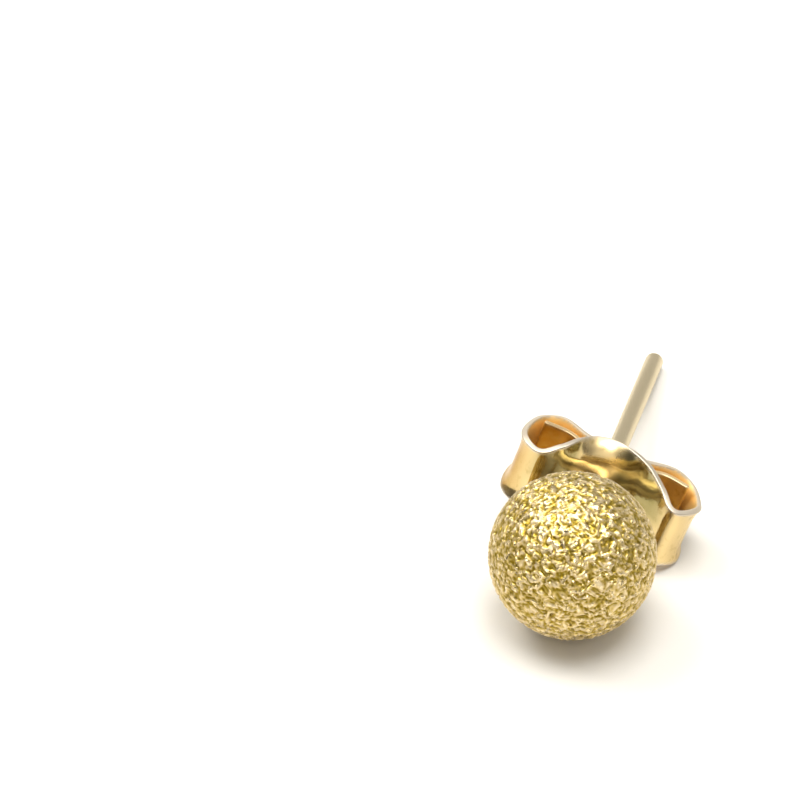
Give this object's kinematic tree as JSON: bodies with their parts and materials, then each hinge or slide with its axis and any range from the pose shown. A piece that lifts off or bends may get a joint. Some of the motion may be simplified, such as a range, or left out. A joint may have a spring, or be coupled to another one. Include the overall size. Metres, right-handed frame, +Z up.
{
  "type": "stud earring with butterfly clutch",
  "caption": "Gold ball stud earring lying on a surface, with a rough sparkling ball on a straight post and a friction clutch rolled from sheet gripping the post.",
  "frame": {"origin": "under the middle of the earring's box, on the surface that it lies on", "axes": "+Z up from the surface; +Y from the ball towards the end of the post, which slopes down to the surface"},
  "size_m": [0.0062, 0.0148, 0.005],
  "materials": {
    "sparkle_gold": "roughened and glittering on the ball, satin on the post",
    "polished_gold": "polished"
  },
  "bodies": {
    "clutch": {"butterfly_clutch": "polished_gold"},
    "stud": {"ball_post": "sparkle_gold"}
  },
  "joints": [
    {"name": "pull_out", "type": "slide", "parent": "clutch", "child": "stud", "axis": [0, -0.9839, 0.1785], "range_m": [-0.001, 0.01]}
  ]
}
